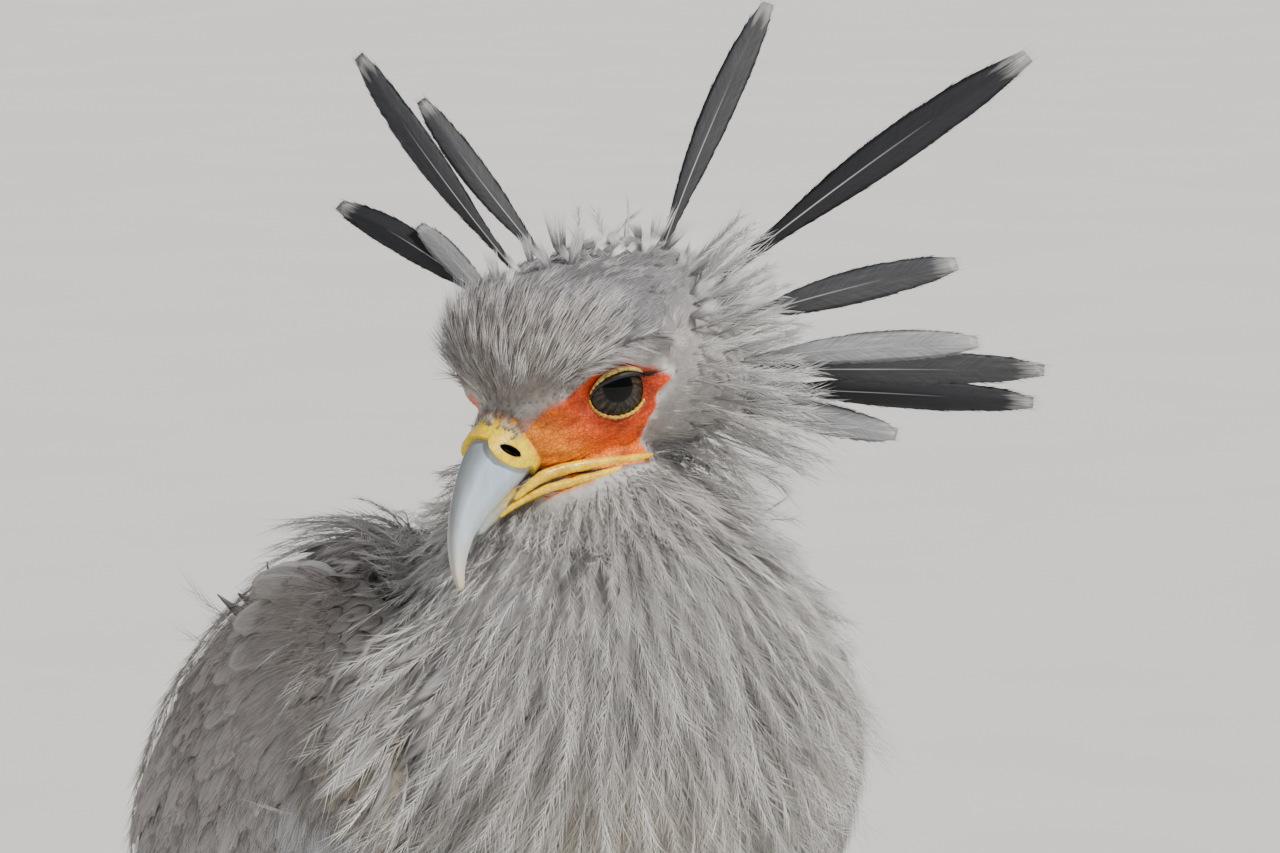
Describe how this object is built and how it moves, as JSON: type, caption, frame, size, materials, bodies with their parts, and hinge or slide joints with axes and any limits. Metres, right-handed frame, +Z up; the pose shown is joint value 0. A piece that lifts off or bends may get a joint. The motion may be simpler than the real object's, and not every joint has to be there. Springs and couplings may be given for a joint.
{
  "type": "secretary bird",
  "caption": "Life-size standing secretary bird, head turned to its right, crest fanned, wings folded, on long legs with flat-soled feet.",
  "frame": {"origin": "on the floor, under the middle of the bird's bounds", "axes": "+Z up, -Y the way the body faces, +X to the bird's left"},
  "size_m": [0.2772, 0.8966, 1.0117],
  "materials": {
    "grey_plumage": "soft grey head feathers",
    "pale_plumage": "loose pale grey body feathers",
    "wing_plumage": "smooth taupe-grey covert feathers",
    "black_plumage": "slate-black feathers",
    "tail_plumage": "grey feathers with a black band and white tips",
    "cere_skin": "smooth yellow skin",
    "bill_horn": "polished pale blue-grey horn",
    "eye": "wet, dark",
    "leg_scales": "scaly, pinkish",
    "claw_horn": "dark horn"
  },
  "bodies": {
    "root": {"head": "grey_plumage", "crest": "black_plumage", "cere": "cere_skin", "bill_upper": "bill_horn", "bill_lower": "bill_horn", "eye_right": "eye", "eye_left": "eye", "neck": "pale_plumage", "torso": "pale_plumage", "tail": "tail_plumage", "wing_right": "wing_plumage", "thigh_right": "black_plumage", "shank_right": "leg_scales", "foot_right": "leg_scales", "claw_right_middle": "claw_horn", "claw_right_inner": "claw_horn", "claw_right_outer": "claw_horn", "claw_right_hind": "claw_horn", "wing_left": "wing_plumage", "thigh_left": "black_plumage", "shank_left": "leg_scales", "foot_left": "leg_scales", "claw_left_middle": "claw_horn", "claw_left_inner": "claw_horn", "claw_left_outer": "claw_horn", "claw_left_hind": "claw_horn"}
  },
  "joints": []
}
